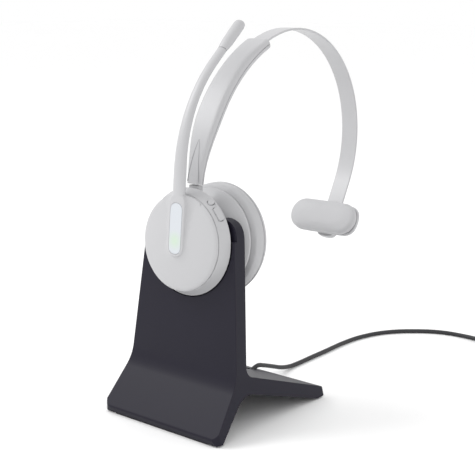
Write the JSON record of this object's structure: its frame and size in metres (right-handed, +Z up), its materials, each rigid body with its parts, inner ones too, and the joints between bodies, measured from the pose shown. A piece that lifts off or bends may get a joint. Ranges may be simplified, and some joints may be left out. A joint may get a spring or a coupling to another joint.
{
  "type": "office headset",
  "caption": "Mono office headset with a swivelling boom microphone and sliding headband, docked on a leaning desk charging stand with a USB lead.",
  "frame": {"origin": "on the table, at the middle of the box round the stand and headset without the cord", "axes": "+X to the right as seen from the stand's front, +Y from the stand's front towards its back, +Z up"},
  "size_m": [0.2089, 0.2949, 0.2246],
  "materials": {
    "dark_shell": "fine matt texture",
    "black_rubber": "matt",
    "pale_shell": "fine satin",
    "soft_pad": "soft grained leatherette over foam",
    "light_window": "translucent diffuser",
    "board": "solder-masked board",
    "inner_plastic": "plain moulding",
    "steel": "plain",
    "gold_contact": "gold plated"
  },
  "bodies": {
    "stand": {"stand_body": "dark_shell", "blade_rear_cover": "dark_shell", "cover_screw_1": "steel", "cover_screw_2": "steel", "cover_screw_3": "steel", "cover_screw_4": "steel", "rear_weight": "steel", "rear_leg_plate": "dark_shell", "front_rubber_foot": "black_rubber", "rear_rubber_foot": "black_rubber", "saddle_liner": "black_rubber", "contact_block": "inner_plastic", "pin_barrel_left": "gold_contact", "pin_barrel_right": "gold_contact", "charge_board": "board", "cable_grommet": "black_rubber", "cord_tube": "black_rubber", "cord_coil": "black_rubber", "cord_tie": "black_rubber", "cord_tail": "black_rubber", "usb_plug_body": "black_rubber", "usb_plug_shell": "steel"},
    "charge_pin_left": {"charge_pin_left": "gold_contact"},
    "charge_pin_right": {"charge_pin_right": "gold_contact"},
    "cup": {"cup_housing": "pale_shell", "charge_pad_left": "gold_contact", "charge_pad_right": "gold_contact", "speaker_housing": "pale_shell", "speaker_baffle": "inner_plastic", "speaker_driver": "steel", "battery_cell": "inner_plastic", "main_board": "board", "ear_cushion": "soft_pad", "pivot_pin": "steel", "boom_bush": "inner_plastic"},
    "mute_button": {"mute_button": "pale_shell"},
    "volume_button": {"volume_button": "pale_shell"},
    "boom": {"boom_arm": "pale_shell", "light_bar": "light_window", "mic_cap": "pale_shell", "mic_capsule": "steel", "boom_retainer": "steel"},
    "neck": {"pivot_block": "pale_shell", "swivel_stem": "steel"},
    "arm": {"arm_outer_shell": "pale_shell", "arm_inner_shell": "pale_shell"},
    "band": {"headband_strip": "pale_shell", "band_end_clip": "pale_shell", "pad_pin": "steel"},
    "pad": {"pad_base": "pale_shell", "temple_pad": "soft_pad"}
  },
  "joints": [
    {"name": "headset_lift", "type": "slide", "parent": "stand", "child": "cup", "axis": [0, 0.0929, 0.9957], "range_m": [0, 0.08]},
    {"name": "boom_rotate", "type": "hinge", "parent": "cup", "child": "boom", "pos_m": [0, -0.06713, 0.10348], "axis": [0, 0.9957, -0.0929], "range_deg": [-130, 130]},
    {"name": "mute_button_press", "type": "slide", "parent": "cup", "child": "mute_button", "axis": [-0.5664, -0.0766, -0.8206], "range_m": [0, 0.0006], "stiffness_N_per_m": 600, "springref_m": -0.0005},
    {"name": "volume_button_press", "type": "slide", "parent": "cup", "child": "volume_button", "axis": [-0.7716, -0.0591, -0.6333], "range_m": [0, 0.0006], "stiffness_N_per_m": 600, "springref_m": -0.0005},
    {"name": "arm_tilt", "type": "hinge", "parent": "cup", "child": "neck", "pos_m": [0, -0.06025, 0.12343], "axis": [1, 0, 0], "range_deg": [-8, 4]},
    {"name": "arm_swivel", "type": "hinge", "parent": "neck", "child": "arm", "pos_m": [0, -0.0603, 0.139], "axis": [0, 0.0929, 0.9957], "range_deg": [-8, 8]},
    {"name": "band_slide", "type": "hinge", "parent": "arm", "child": "band", "pos_m": [0, 0.03309, 0.1236], "axis": [-1, 0, 0], "range_deg": [-6, 12]},
    {"name": "pad_tilt", "type": "hinge", "parent": "band", "child": "pad", "pos_m": [0, 0.07033, 0.09418], "axis": [1, 0, 0], "range_deg": [-12, 12]},
    {"name": "charge_pin_left_press", "type": "slide", "parent": "stand", "child": "charge_pin_left", "axis": [0, -0.0929, -0.9957], "range_m": [0, 0.0008], "stiffness_N_per_m": 150, "springref_m": -0.001},
    {"name": "charge_pin_right_press", "type": "slide", "parent": "stand", "child": "charge_pin_right", "axis": [0, -0.0929, -0.9957], "range_m": [0, 0.0008], "stiffness_N_per_m": 150, "springref_m": -0.001}
  ]
}
